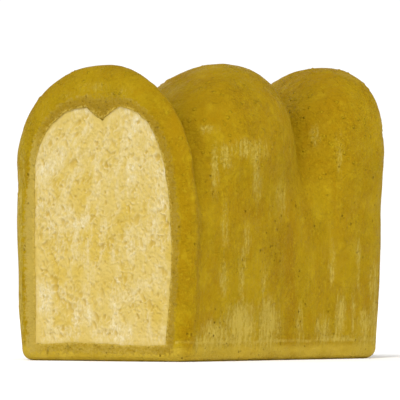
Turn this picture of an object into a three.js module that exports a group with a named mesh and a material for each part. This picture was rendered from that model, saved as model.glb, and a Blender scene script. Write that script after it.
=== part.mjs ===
// A three-humped tin loaf with its front heel cut off. Millimetres, +Z up.
// The loaf lies along Y, with the flat cut face on y = 0 and the rounded heel at +Y.
// It rests on its flat base at z = 0.
import * as THREE from 'three';

// ---- the part that rose inside the tin
const LENGTH = 192.6;            // cut face to heel
const HALF_BASE = 58.2;          // half width at the base
const HALF_WALL = 59.7;          // half width from OPENING upward
const OPENING = 49;              // height over which the walls open out
const EDGE_BASE = 5.8;           // rounding round the base
const EDGE_REAR = 19;            // upright corners of the heel
const REAR_LEAN = 2;             // how far the heel draws in towards the base
const SHOULDER_TOP = 121.2;      // height of the tin part without its humps
const SHOULDER_ROUND = 47.5;     // rounding of its shoulders

// ---- the three humps, each swelling between two creases
const CREST_BASE = 105;          // height of the humps' widest section
const SINK = 150;                // how far a hump's form runs down inside the loaf
const PLAN_POWER = 2.48;         // squareness of a hump seen from above
const CREASE_SOFT = 3.2;         // rounding at the bottom of a crease
const BLEND_SOFT = 12;           // how softly the humps run into the walls
const LEAN_FROM = 80, LEAN_OVER = 80;
const CREASES = [                // where the humps meet on the centre line, and their slant
  { y: -23, slant: 0, overlap: 0 },
  { y: 37.4, slant: 0.46, overlap: 7.6 },
  { y: 140.5, slant: 0.47, overlap: 7 },
  { y: LENGTH, slant: 0, overlap: 2.2 },
];
const HUMPS = [                  // crest along the loaf, sideways lean, half width, height, squareness seen from the end
  { y: 15.9, lean: -6.8, half: 64.4, top: 164.3, dome: 1.99 },
  { y: 94, lean: 13.2, half: 60.7, top: 165.3, dome: 2.06 },
  { y: 178.5, lean: 21, half: 58.8, top: 162.9, dome: 2.13 },
];

// ---- the cut
const CUT_BACK = 1.1;            // the cut takes this little off the domed front
const CUT_ROUND = 11;            // rounding from the sides and top into the cut face

// ---- facets
const ACROSS = 26, UP = 18;      // across the base or the dome, and up a wall
const CORE = 72;                 // height of the line that the surface is measured from
const REAR_CORE = LENGTH - 48;   // where that line ends, inside the heel

const clamp = (v, a, b) => Math.min(b, Math.max(a, v));
const mix = (a, b, t) => a + (b - a) * t;

// two faces meeting in a round edge, and two swellings meeting in a soft crease
function roundEdge(a, b, r) {
  return Math.min(-r, Math.max(a, b)) + Math.hypot(Math.max(r + a, 0), Math.max(r + b, 0));
}
function softUnion(a, b, k) {
  const h = Math.max(k - Math.abs(a - b), 0) / k;
  return Math.min(a, b) - h * h * k * 0.25;
}

function tinPart(x, y, z) {
  const half = mix(HALF_BASE, HALF_WALL, Math.sin(clamp(z / OPENING, 0, 1) * Math.PI / 2));
  const rear = y - (LENGTH - REAR_LEAN * (1 - clamp(z / 60, 0, 1)));
  return roundEdge(roundEdge(Math.abs(x) - half, rear, EDGE_REAR), z - SHOULDER_TOP, SHOULDER_ROUND);
}

function hump(i, x, y, z) {
  const h = HUMPS[i], a = CREASES[i], b = CREASES[i + 1];
  const px = x - h.lean * clamp((z - LEAN_FROM) / LEAN_OVER, 0, 1.1);
  const front = a.y - a.slant * px - a.overlap;
  const rear = b.y - b.slant * px + b.overlap;
  const crest = h.y - 0.5 * (a.slant + b.slant) * px;
  const py = y < crest ? (crest - y) / (crest - front) : (y - crest) / (rear - crest);
  const pz = z > CREST_BASE ? (z - CREST_BASE) / (h.top - CREST_BASE) : (CREST_BASE - z) / SINK;
  const plan = Math.pow(Math.abs(px / h.half), PLAN_POWER) + Math.pow(Math.abs(py), PLAN_POWER);
  const reach = Math.pow(plan, h.dome / PLAN_POWER) + Math.pow(pz, h.dome);
  return (Math.pow(reach, 1 / h.dome) - 1) * 45;
}

// negative inside the loaf, positive outside
function loafField(x, y, z) {
  let risen = hump(0, x, y, z);
  for (let i = 1; i < HUMPS.length; i++) risen = softUnion(risen, hump(i, x, y, z), CREASE_SOFT);
  let d = softUnion(risen, tinPart(x, y, z), BLEND_SOFT);
  d = roundEdge(d, -CUT_BACK - y, CUT_ROUND);
  return roundEdge(d, -z, EDGE_BASE);
}

function surfacePoint(from, toward) {
  const n = Math.hypot(...toward), d = toward.map((v) => v / n);
  let near = 0, far = 140;
  for (let i = 0; i < 34; i++) {
    const m = (near + far) / 2;
    if (loafField(from[0] + d[0] * m, from[1] + d[1] * m, from[2] + d[2] * m) < 0) near = m; else far = m;
  }
  const p = d.map((v, i) => from[i] + v * near);
  if (Math.abs(p[2]) < 0.02) p[2] = 0;
  return p;
}

// the outline that each cross-section's directions are taken from: base, right wall, dome, left wall
function outline() {
  const pts = [], wall = 118, half = 58, dome = 46;
  for (let i = 0; i < ACROSS; i++) { const u = -1 + 2 * i / ACROSS; pts.push([half * (u * 1.3 - 0.3 * u ** 3), 0]); }
  for (let i = 0; i < UP; i++) { const v = i / UP; pts.push([half, wall * (0.55 * v + 0.45 * v * v)]); }
  for (let i = 0; i < ACROSS; i++) { const a = Math.PI * i / ACROSS; pts.push([half * Math.cos(a), wall + dome * Math.sin(a)]); }
  for (let i = 0; i < UP; i++) { const v = 1 - i / UP; pts.push([-half, wall * (0.55 * v + 0.45 * v * v)]); }
  return pts;
}

// cross-sections slant with the creases, and stand straight at the cut and at the heel
function slantAt(y) {
  const c = CREASES;
  if (y < c[1].y) return c[1].slant * y / c[1].y;
  if (y < c[2].y) return mix(c[1].slant, c[2].slant, (y - c[1].y) / (c[2].y - c[1].y));
  return c[2].slant * clamp((LENGTH - y) / (LENGTH - c[2].y), 0, 1);
}

function stations() {
  const list = [];
  const add = (a, b, n, ease) => { for (let i = 0; i < n; i++) list.push(mix(a, b, ease(i / n))); };
  const packed = (t) => 0.5 - 0.5 * Math.cos(Math.PI * t);     // closer together at both creases
  const half = (a) => (t) => mix(t, packed(t), a);
  add(0, CREASES[1].y, 9, half(0.55));
  add(CREASES[1].y, CREASES[2].y, 14, half(0.65));
  add(CREASES[2].y, LENGTH, 9, half(0.35));
  list.push(LENGTH);
  return list;
}

// a four-sided grid filled in from its rim, given as the outline's points in order
function fill(rim, at) {
  const S = (i) => rim[i], R = (j) => rim[ACROSS + j], T = (i) => rim[ACROSS + UP + (ACROSS - i)], L = (j) => rim[(2 * ACROSS + UP + (UP - j)) % rim.length];
  for (let j = 1; j < UP; j++) for (let i = 1; i < ACROSS; i++) {
    const u = i / ACROSS, v = j / UP;
    const p = [0, 1, 2].map((k) => mix(S(i)[k], T(i)[k], v) + mix(L(j)[k], R(j)[k], u)
      - mix(mix(S(0)[k], S(ACROSS)[k], u), mix(T(0)[k], T(ACROSS)[k], u), v));
    at(i, j, p);
  }
}

function loafGeometry() {
  const ring = outline(), N = ring.length, pos = [], idx = [];
  const put = (p) => { pos.push(p[0], p[1], p[2]); return pos.length / 3 - 1; };
  const rows = [];
  for (const y of stations()) {
    const s = slantAt(y), from = [0, Math.min(y, REAR_CORE), CORE];
    rows.push(ring.map(([x, z]) => put(y === 0
      ? surfacePoint(from, [x, 0, z - CORE])
      : surfacePoint(from, [x, y - from[1] - s * x, z - CORE]))));
  }
  const rearSteps = [0.93, 0.84, 0.74];
  for (const k of rearSteps)
    rows.push(ring.map(([x, z]) => put(surfacePoint([0, REAR_CORE, CORE], [x * k, LENGTH - REAR_CORE, (z - CORE) * k]))));
  for (let r = 0; r + 1 < rows.length; r++) for (let i = 0; i < N; i++) {
    const j = (i + 1) % N, a = rows[r][i], b = rows[r][j], c = rows[r + 1][j], d = rows[r + 1][i];
    idx.push(a, d, c, a, c, b);
  }
  // the cut face and the middle of the heel, each a grid inside its own ring
  const cap = (row, project, outward) => {
    const grid = [];
    for (let j = 0; j <= UP; j++) grid.push(new Array(ACROSS + 1));
    for (let i = 0; i <= ACROSS; i++) { grid[0][i] = row[i]; grid[UP][i] = row[ACROSS + UP + (ACROSS - i)]; }
    for (let j = 0; j <= UP; j++) { grid[j][ACROSS] = row[ACROSS + j]; grid[j][0] = row[(2 * ACROSS + UP + (UP - j)) % N]; }
    fill(row.map((v) => [pos[3 * v], pos[3 * v + 1], pos[3 * v + 2]]), (i, j, p) => { grid[j][i] = put(project(p)); });
    for (let j = 0; j < UP; j++) for (let i = 0; i < ACROSS; i++) {
      const a = grid[j][i], b = grid[j][i + 1], c = grid[j + 1][i + 1], d = grid[j + 1][i];
      if (outward < 0) idx.push(a, b, c, a, c, d); else idx.push(a, c, b, a, d, c);
    }
  };
  cap(rows[0], (p) => [p[0], 0, p[2]], -1);
  cap(rows[rows.length - 1], (p) => surfacePoint([0, REAR_CORE, CORE], [p[0], p[1] - REAR_CORE, p[2] - CORE]), 1);
  const g = new THREE.BufferGeometry();
  g.setAttribute('position', new THREE.Float32BufferAttribute(pos, 3));
  g.setIndex(idx);
  g.computeVertexNormals();
  return g;
}

const crust = new THREE.MeshStandardMaterial({ name: 'crust', color: 0xad8a20, roughness: 0.72, metalness: 0 });
const loaf = new THREE.Mesh(loafGeometry(), crust);
loaf.name = 'loaf';

// the frame's origin: middle of the bounding box across and along, on the base
loaf.geometry.computeBoundingBox();
const box = loaf.geometry.boundingBox;
loaf.geometry.translate(-(box.min.x + box.max.x) / 2, -(box.min.y + box.max.y) / 2, -box.min.z);

const part = new THREE.Group();
part.name = 'tin_loaf';
part.add(loaf);
export default part;
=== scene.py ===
# A three-humped tin loaf with its front heel cut off: browned crust round pale, open crumb.
# Lengths are worked out in millimetres in the loaf's own frame (cut face on y = 0, walls centred on x = 0)
# and placed in the CAD frame in metres.
import math

import bpy
import numpy as np
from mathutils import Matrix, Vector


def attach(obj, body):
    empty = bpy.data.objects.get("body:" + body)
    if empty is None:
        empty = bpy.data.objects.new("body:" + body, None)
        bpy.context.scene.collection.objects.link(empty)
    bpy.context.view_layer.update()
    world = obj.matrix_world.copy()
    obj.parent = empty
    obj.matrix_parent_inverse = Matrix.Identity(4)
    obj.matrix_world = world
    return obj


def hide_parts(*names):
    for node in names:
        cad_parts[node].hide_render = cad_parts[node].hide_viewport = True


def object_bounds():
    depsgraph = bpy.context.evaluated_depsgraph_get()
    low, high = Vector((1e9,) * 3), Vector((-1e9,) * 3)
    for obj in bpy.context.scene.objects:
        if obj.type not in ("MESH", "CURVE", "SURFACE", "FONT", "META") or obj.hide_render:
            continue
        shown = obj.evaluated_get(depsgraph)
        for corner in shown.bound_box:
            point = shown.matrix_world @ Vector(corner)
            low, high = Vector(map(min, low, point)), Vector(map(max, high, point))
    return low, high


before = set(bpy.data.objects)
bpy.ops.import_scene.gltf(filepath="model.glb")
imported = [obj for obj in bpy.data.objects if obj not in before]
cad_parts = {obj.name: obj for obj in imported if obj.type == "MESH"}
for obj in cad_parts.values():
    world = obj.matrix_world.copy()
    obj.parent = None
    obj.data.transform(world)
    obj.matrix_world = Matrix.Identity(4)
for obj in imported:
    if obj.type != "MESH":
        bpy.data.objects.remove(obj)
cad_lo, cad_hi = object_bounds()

# ---------------------------------------------------------------- sizes, as in the CAD
LENGTH = 192.6
HALF_BASE, HALF_WALL, OPENING = 58.2, 59.7, 49.0
EDGE_BASE, EDGE_REAR, REAR_LEAN = 5.8, 19.0, 2.0
SHOULDER_TOP, SHOULDER_ROUND = 121.2, 47.5
CREST_BASE, SINK = 105.0, 150.0
PLAN_POWER = 2.48
CREASE_SOFT, BLEND_SOFT = 2.2, 12.0
LEAN_FROM, LEAN_OVER = 80.0, 80.0
CREASES = [(-23.0, 0.0, 0.0), (37.4, 0.46, 7.6), (140.5, 0.47, 7.0), (LENGTH, 0.0, 2.2)]   # y, slant, overlap
# y, lean, half, top, power of the dome
HUMPS = [(15.9, -6.8, 64.4, 164.3, 1.99), (94.0, 13.2, 60.7, 165.3, 2.06), (178.5, 21.0, 58.8, 162.9, 2.13)]
CUT_BACK, CUT_ROUND = 1.1, 11.0
CORE, REAR_CORE = 72.0, LENGTH - 48.0
SHIFT = np.array([-0.5218, float(cad_lo[1]) * 1000.0, 0.0])      # loaf frame to CAD frame

ACROSS, UP = 138, 100            # quads across the base or dome, and up a wall


# ---------------------------------------------------------------- the loaf's form
def smooth(t):
    t = np.clip(t, 0.0, 1.0)
    return t * t * (3 - 2 * t)


def step(a, b, v):
    return smooth((v - a) / (b - a))


def round_edge(a, b, r):
    return np.minimum(-r, np.maximum(a, b)) + np.hypot(np.maximum(r + a, 0), np.maximum(r + b, 0))


def soft_union(a, b, k):
    h = np.maximum(k - np.abs(a - b), 0) / k
    return np.minimum(a, b) - h * h * k * 0.25


def tin_part(x, y, z):
    half = HALF_BASE + (HALF_WALL - HALF_BASE) * np.sin(np.clip(z / OPENING, 0, 1) * math.pi / 2)
    rear = y - (LENGTH - REAR_LEAN * (1 - np.clip(z / 60, 0, 1)))
    return round_edge(round_edge(np.abs(x) - half, rear, EDGE_REAR), z - SHOULDER_TOP, SHOULDER_ROUND)


def hump(i, x, y, z):
    hy, lean, half, top, dome = HUMPS[i]
    (ay, aslant, aover), (by, bslant, bover) = CREASES[i], CREASES[i + 1]
    px = x - lean * np.clip((z - LEAN_FROM) / LEAN_OVER, 0, 1.1)
    front = ay - aslant * px - aover
    rear = by - bslant * px + bover
    crest = hy - 0.5 * (aslant + bslant) * px
    py = np.where(y < crest, (crest - y) / (crest - front), (y - crest) / (rear - crest))
    pz = np.where(z > CREST_BASE, (z - CREST_BASE) / (top - CREST_BASE), (CREST_BASE - z) / SINK)
    plan = np.abs(px / half) ** PLAN_POWER + np.abs(py) ** PLAN_POWER
    return ((plan ** (dome / PLAN_POWER) + np.abs(pz) ** dome) ** (1 / dome) - 1) * 45


def field(x, y, z):
    h = [hump(i, x, y, z) for i in range(3)]
    d = soft_union(soft_union(h[0], h[1], CREASE_SOFT), h[2], CREASE_SOFT)
    d = soft_union(d, tin_part(x, y, z), BLEND_SOFT)
    d = round_edge(d, -CUT_BACK - y, CUT_ROUND)
    return round_edge(d, -z, EDGE_BASE)


def surface_points(origin, toward):
    d = toward / np.linalg.norm(toward, axis=-1, keepdims=True)
    near, far = np.zeros(d.shape[:-1]), np.full(d.shape[:-1], 140.0)
    for _ in range(30):
        m = (near + far) / 2
        p = origin + d * m[..., None]
        inside = field(p[..., 0], p[..., 1], p[..., 2]) < 0
        near, far = np.where(inside, m, near), np.where(inside, far, m)
    return origin + d * near[..., None]


def slopes(p, h=0.35):
    """Outward unit normals of the form at points p."""
    g = []
    for k in range(3):
        e = np.zeros(3)
        e[k] = h
        a, b = p + e, p - e
        g.append(field(a[..., 0], a[..., 1], a[..., 2]) - field(b[..., 0], b[..., 1], b[..., 2]))
    g = np.stack(g, -1)
    return g / (np.linalg.norm(g, axis=-1, keepdims=True) + 1e-9)


# ---------------------------------------------------------------- seeded noise in three dimensions
def lattice(ix, iy, iz, seed):
    h = (ix * 374761393 + iy * 668265263 + iz * 1440662683 + seed * 1274126177) & 0xFFFFFFFF
    h = ((h ^ (h >> 13)) * 1274126177) & 0xFFFFFFFF
    h = ((h ^ (h >> 15)) * 2246822519) & 0xFFFFFFFF
    return ((h ^ (h >> 16)) & 0xFFFFFF) / float(0xFFFFFF)


def noise(p, seed=0):
    """Value noise from -1 to 1, one cell per unit."""
    q = np.floor(p).astype(np.int64)
    f = p - q
    f = f * f * f * (f * (f * 6 - 15) + 10)
    out = 0.0
    for dx in (0, 1):
        wx = f[..., 0] if dx else 1 - f[..., 0]
        for dy in (0, 1):
            wy = f[..., 1] if dy else 1 - f[..., 1]
            for dz in (0, 1):
                wz = f[..., 2] if dz else 1 - f[..., 2]
                out = out + wx * wy * wz * lattice(q[..., 0] + dx, q[..., 1] + dy, q[..., 2] + dz, seed)
    return out * 2 - 1


def layers(p, size, n, seed, keep=0.5):
    """Sum of n octaves of noise whose largest cells measure size (a number or one per axis)."""
    total, weight, amp, p = 0.0, 0.0, 1.0, p / np.asarray(size, float)
    for i in range(n):
        total = total + amp * noise(p, seed + 17 * i)
        weight += amp
        amp *= keep
        p = p * 2.03 + 11.3
    return total / weight


# ---------------------------------------------------------------- rings and grids
def outline():
    """Directions of one cross-section: base, right wall, dome, left wall."""
    pts, wall, half, dome = [], 118.0, 58.0, 46.0
    for i in range(ACROSS):
        u = -1 + 2 * i / ACROSS
        pts.append((half * (u * 1.18 - 0.18 * u ** 3), 0))
    for i in range(UP):
        v = i / UP
        pts.append((half, wall * (0.75 * v + 0.25 * v * v)))
    for i in range(ACROSS):
        a = math.pi * i / ACROSS
        pts.append((half * math.cos(a), wall + dome * math.sin(a)))
    for i in range(UP):
        v = 1 - i / UP
        pts.append((-half, wall * (0.75 * v + 0.25 * v * v)))
    return np.array(pts)


def slant_at(y):
    a, b = CREASES[1], CREASES[2]
    if y < a[0]:
        return a[1] * y / a[0]
    if y < b[0]:
        return a[1] + (b[1] - a[1]) * (y - a[0]) / (b[0] - a[0])
    return b[1] * max(0.0, min(1.0, (LENGTH - y) / (LENGTH - b[0])))


def stations():
    out = []

    def run(a, b, n, pack):
        for i in range(n):
            t = i / n
            t = t + pack * ((0.5 - 0.5 * math.cos(math.pi * t)) - t)
            out.append(a + (b - a) * t)
    run(0.0, CREASES[1][0], 40, 0.45)
    run(CREASES[1][0], CREASES[2][0], 72, 0.5)
    run(CREASES[2][0], LENGTH, 40, 0.3)
    out.append(LENGTH)
    return out


def grid_of(rim):
    """Corner-to-corner grid (UP + 1, ACROSS + 1) filled in from a rim given in the outline's order."""
    n = len(rim)
    s = rim[: ACROSS + 1]
    r = rim[ACROSS: ACROSS + UP + 1]
    t = rim[ACROSS + UP: 2 * ACROSS + UP + 1][::-1]
    left = np.concatenate([rim[2 * ACROSS + UP:], rim[:1]])[::-1]
    u = np.linspace(0, 1, ACROSS + 1)[None, :, None]
    v = np.linspace(0, 1, UP + 1)[:, None, None]
    g = (1 - v) * s[None] + v * t[None] + (1 - u) * left[:, None] + u * r[:, None]
    g = g - ((1 - v) * ((1 - u) * s[0] + u * s[-1]) + v * ((1 - u) * t[0] + u * t[-1]))
    g[0], g[-1], g[:, 0], g[:, -1] = s, t, left, r
    assert n == 2 * (ACROSS + UP)
    return g


def rim_index():
    """Where each rim point sits in that grid, as (row, column)."""
    out = [(0, i) for i in range(ACROSS)] + [(j, ACROSS) for j in range(UP)]
    out += [(UP, ACROSS - i) for i in range(ACROSS)] + [(UP - j, 0) for j in range(UP)]
    return out


# ---------------------------------------------------------------- where crumb meets crust on the cut face
CRUMB_FOOT, CRUMB_HEAD = 9.4, 140.6
CRUMB_LEFT, CRUMB_RIGHT = -45.2, 50.3           # its straight sides
LEFT_ARCH = (-8.0, 104.0, 2.12)                 # centre across, centre up, power of the rounded shoulder
RIGHT_ARCH = (9.4, 44.0, 2.78)
NOTCH_X, NOTCH_DEPTH = 1.2, 7.6                 # the fold of crust that dips into the crumb
NOTCH_LEFT, NOTCH_RIGHT = (10.2, 1.05), (13.0, 1.5)
CRUMB_MID = 2.0


def notch(x):
    d = x - NOTCH_X
    left = np.clip(1 + d / NOTCH_LEFT[0], 0, 1) ** NOTCH_LEFT[1]
    right = np.clip(1 - d / NOTCH_RIGHT[0], 0, 1) ** NOTCH_RIGHT[1]
    return NOTCH_DEPTH * np.where(d < 0, left, right)


def evenly(path, n):
    """n points along an open path, the first on its start and none on its end."""
    run = np.concatenate([[0], np.cumsum(np.hypot(*np.diff(path, axis=0).T))])
    s = np.linspace(0, run[-1], n + 1)[:-1]
    return np.stack([np.interp(s, run, path[:, 0]), np.interp(s, run, path[:, 1])], -1)


def crumb_outline():
    def shoulder(x, z, side, arch, power_end):
        cx, cz, p = arch
        t = np.clip((z - cz) / (CRUMB_HEAD - cz), 0, 1)
        return cx + (side - cx) * (1 - t ** p) ** (1 / p)

    def right(z):
        low = np.clip((60.0 - z) / 50.0, 0, 1)
        return shoulder(0, z, CRUMB_RIGHT, RIGHT_ARCH, 0) - 4.3 * low ** 1.3

    def left(z):
        return shoulder(0, z, CRUMB_LEFT, LEFT_ARCH, 0) + 0.35 * np.sin(z / 17.0)

    knee_r, knee_l = 112.0, 108.0
    t = np.linspace(0, 1, 200)
    up = np.sin(t * math.pi / 2)
    zr = CRUMB_FOOT + (knee_r - CRUMB_FOOT) * t
    zl = CRUMB_FOOT + (knee_l - CRUMB_FOOT) * t
    foot_x = np.linspace(float(left(np.array(CRUMB_FOOT))), float(right(np.array(CRUMB_FOOT))), 200)
    foot = np.stack([foot_x, CRUMB_FOOT + 0.9 * np.sin((foot_x + 45) / 18.0) * np.sin(math.pi * t) * 1.0], -1)
    zar = knee_r + (CRUMB_HEAD - knee_r) * up
    zal = knee_l + (CRUMB_HEAD - knee_l) * up
    crown = np.concatenate([np.stack([right(zar), zar], -1),
                            np.stack([np.linspace(RIGHT_ARCH[0], NOTCH_X, 80)[1:], np.full(79, CRUMB_HEAD)], -1)])
    crown_l = np.concatenate([np.stack([np.linspace(NOTCH_X, LEFT_ARCH[0], 80), np.full(80, CRUMB_HEAD)], -1),
                              np.stack([left(zal), zal], -1)[::-1][1:]])
    for c in (crown, crown_l):
        c[:, 1] -= notch(c[:, 0])
    # the tip of the notch falls on a point, so share the arch's points out on both sides of it
    len_r = np.hypot(*np.diff(crown, axis=0).T).sum()
    len_l = np.hypot(*np.diff(crown_l, axis=0).T).sum()
    n_r = int(round(ACROSS * len_r / (len_r + len_l)))
    pts = np.concatenate([evenly(foot, ACROSS), evenly(np.stack([right(zr), zr], -1), UP),
                          evenly(crown, n_r), evenly(crown_l, ACROSS - n_r),
                          evenly(np.stack([left(zl), zl], -1)[::-1], UP)])
    # a slightly uneven, hand-cut edge
    ring = np.stack([pts[:, 0] / 6.0, pts[:, 1] / 6.0, np.full(len(pts), 3.3)], -1)
    mid = np.array([CRUMB_MID, CORE])
    out = pts - mid
    out /= np.linalg.norm(out, axis=1, keepdims=True)
    calm = step(2.0, 9.0, np.hypot(pts[:, 0] - NOTCH_X, pts[:, 1] - (CRUMB_HEAD - NOTCH_DEPTH)))
    fine = np.stack([pts[:, 0] / 1.9, pts[:, 1] / 1.9, np.full(len(pts), 7.7)], -1)
    return pts + out * ((0.6 * layers(ring, 1.0, 3, 91) + 0.34 * noise(fine, 95)) * calm)[:, None]


# ---------------------------------------------------------------- marks on the crust, as seen on the side towards the right
VALLEY = (6.5, 10.5)             # the strip of painted shade behind each crease starts to fade and ends here
# painted shade in each crease: how dark its bottom is, how low that runs, and how dark the strip behind it is
CREASE_SHADES = [(0.72, 96.0, 1.0), (0.20, 92.0, 0.55)]
VIEW = math.radians(37.14)       # marks are set out across the line of sight, u, and up, z
# u, z, half width, half height, strength
PALE_MARKS = [
    (63.9, 106.0, 2.0, 14.5, .52), (83.7, 117.5, 9.0, 5.6, .50), (70.3, 113.4, 3.4, 7.8, .50), (60.8, 128.4, 5.0, 2.2, .50),
    (87.4, 98.3, 2.8, 10.0, .45), (69.8, 73.7, 2.2, 13.4, .42), (81.5, 64.7, 2.0, 15.6, .40), (69.0, 45.8, 2.8, 9.0, .50),
    (79.3, 44.0, 2.0, 15.6, .45), (91.0, 44.0, 2.0, 11.0, .35), (65.5, 14.5, 8.5, 8.0, .74), (78.5, 19.0, 8.5, 11.5, 1.0),
    (93.5, 19.5, 6.0, 13.5, .80), (111.3, 18.5, 2.4, 12.0, .42), (124.4, 17.0, 5.0, 9.0, .48), (134.0, 23.5, 2.5, 11.5, 1.0),
    (129.3, 54.4, 1.7, 12.3, .50), (144.3, 54.4, 0.9, 15.6, .60), (141.8, 25.0, 1.0, 16.8, .50), (133.7, 114.6, 2.2, 12.3, .26),
    (119.0, 125.0, 2.8, 6.7, .45), (101.4, 89.6, 4.0, 11.0, .28), (130.0, 11.8, 10.0, 1.9, .70),
    (85.0, 113.5, 2.4, 5.5, .58), (59.0, 9.5, 6.0, 6.0, .66), (147.5, 15.0, 5.0, 12.0, .54),
    (153.5, 26.0, 2.8, 26.0, .50),
]
# the same on the front hump's face, set out across it, x, and up, z
FRONT_MARKS = [(-20.0, 146.5, 9.0, 3.6, .19), (-3.0, 151.5, 13.0, 3.2, .20), (14.0, 150.0, 8.0, 3.2, .17),
               (-38.0, 133.0, 4.0, 8.0, .22), (-53.0, 84.0, 2.6, 34.0, .34), (-57.0, 60.0, 4.0, 64.0, .64)]
DEEP_MARKS = [
    (106.4, 50.0, 4.0, 46.0, 1.0), (58.2, 74.0, 2.6, 22.0, .28), (148.0, 94.0, 4.0, 38.0, .30), (130.7, 141.0, 13.0, 8.0, .50),
    (46.5, 58.0, 5.0, 62.0, .50), (47.2, 80.0, 5.5, 34.0, .80),
    (139.0, 100.0, 12.0, 42.0, .40), (115.0, 88.0, 3.0, 24.0, .40), (41.0, 125.0, 6.0, 24.0, .55),
    (49.0, 14.0, 5.5, 16.0, .90), (60.0, 30.0, 1.6, 26.0, .35),
]


def between(i, p):
    """Signed distance from the crease between hump i and the next, in mm."""
    def t(q):
        return hump(i, q[..., 0], q[..., 1], q[..., 2]) - hump(i + 1, q[..., 0], q[..., 1], q[..., 2])
    g = []
    for k in range(3):
        e = np.zeros(3)
        e[k] = 0.5
        g.append(t(p + e) - t(p - e))
    return t(p) / (np.linalg.norm(np.stack(g, -1), axis=-1) + 1e-6)


def marks(p, side, listed, turn=VIEW):
    u, z = p[:, 0] * math.cos(turn) + p[:, 1] * math.sin(turn), p[:, 2]
    wob = 1.2 * layers(p, (9, 9, 26), 2, 171)
    total = np.zeros(len(p))
    for mu, mz, hw, hh, k in listed:
        total = np.maximum(total, k * np.exp(-np.abs((u + wob - mu) / hw) ** 2.2 - np.abs((z - mz) / hh) ** 2.6))
    return total * side


# ---------------------------------------------------------------- crust mesh
def crust_relief(p, n, crease, torn):
    """How far the crust stands out from the plain form, in mm."""
    z = p[..., 2]
    dome = step(88, 122, z)                         # free-risen part, above the tin
    wall = 1 - dome
    side = np.clip(1 - np.abs(n[..., 2]) * 1.6, 0, 1)
    d = 0.80 * layers(p, 34, 3, 5) * (0.35 + 0.65 * dome)
    d += 0.42 * layers(p, 11, 3, 23) * (0.40 + 0.60 * dome)
    # soft folds of the skin on the domes, most of them round the neck where they rose out of the tin
    w = layers(p, (24, 10, 7), 3, 41)
    neck = np.exp(-((z - 112) / 20.0) ** 2)
    fold = np.exp(-(w / 0.060) ** 2) * step(-0.25, 0.40, layers(p, 30, 2, 47))
    d -= 0.60 * fold * np.maximum(0.45 * dome, neck * dome)
    # upright stretch marks where the dough pulled up out of the tin
    s = layers(p, (4.4, 4.4, 34), 3, 59)
    band = step(66, 94, z) * (1 - step(114, 134, z))
    d += 0.42 * s * side * (0.22 + band)
    # dents where the dough didn't quite reach the tin
    t = layers(p, (5.2, 5.2, 4.6), 2, 71)
    d -= 0.55 * step(0.30, 0.58, t) * wall * (0.25 + 0.75 * step(-0.2, 0.4, layers(p, 26, 2, 77)))
    # small blisters
    b = layers(p, 3.2, 2, 83)
    d += 0.45 * step(0.30, 0.66, b) * (0.25 + 0.75 * dome) * step(-0.15, 0.35, layers(p, 22, 2, 85))
    # where the skin tore it lies a little lower, and is ragged
    d += torn * (0.45 * layers(p, (2.6, 2.6, 4.2), 2, 101) - 0.50)
    # hand-shaped dough: a little fuller below the rear hump, and at the foot of the front corner
    d += 1.3 * np.exp(-((z - 99) / 12.0) ** 2) * step(0.2, 0.7, n[..., 0]) * step(118, 150, p[..., 1])
    d -= 0.7 * np.exp(-((z - 127) / 9.0) ** 2) * step(0.2, 0.7, n[..., 0]) * step(138, 165, p[..., 1])
    d += 1.3 * np.exp(-((z - 27) / 14.0) ** 2) * step(0.2, 0.7, -n[..., 0]) * (1 - step(30, 70, p[..., 1]))
    # the bottoms of the creases are pinched and stringy
    c = layers(p, (9, 3.0, 9), 2, 97)
    d += crease * (0.5 * c - 0.25)
    return d


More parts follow.
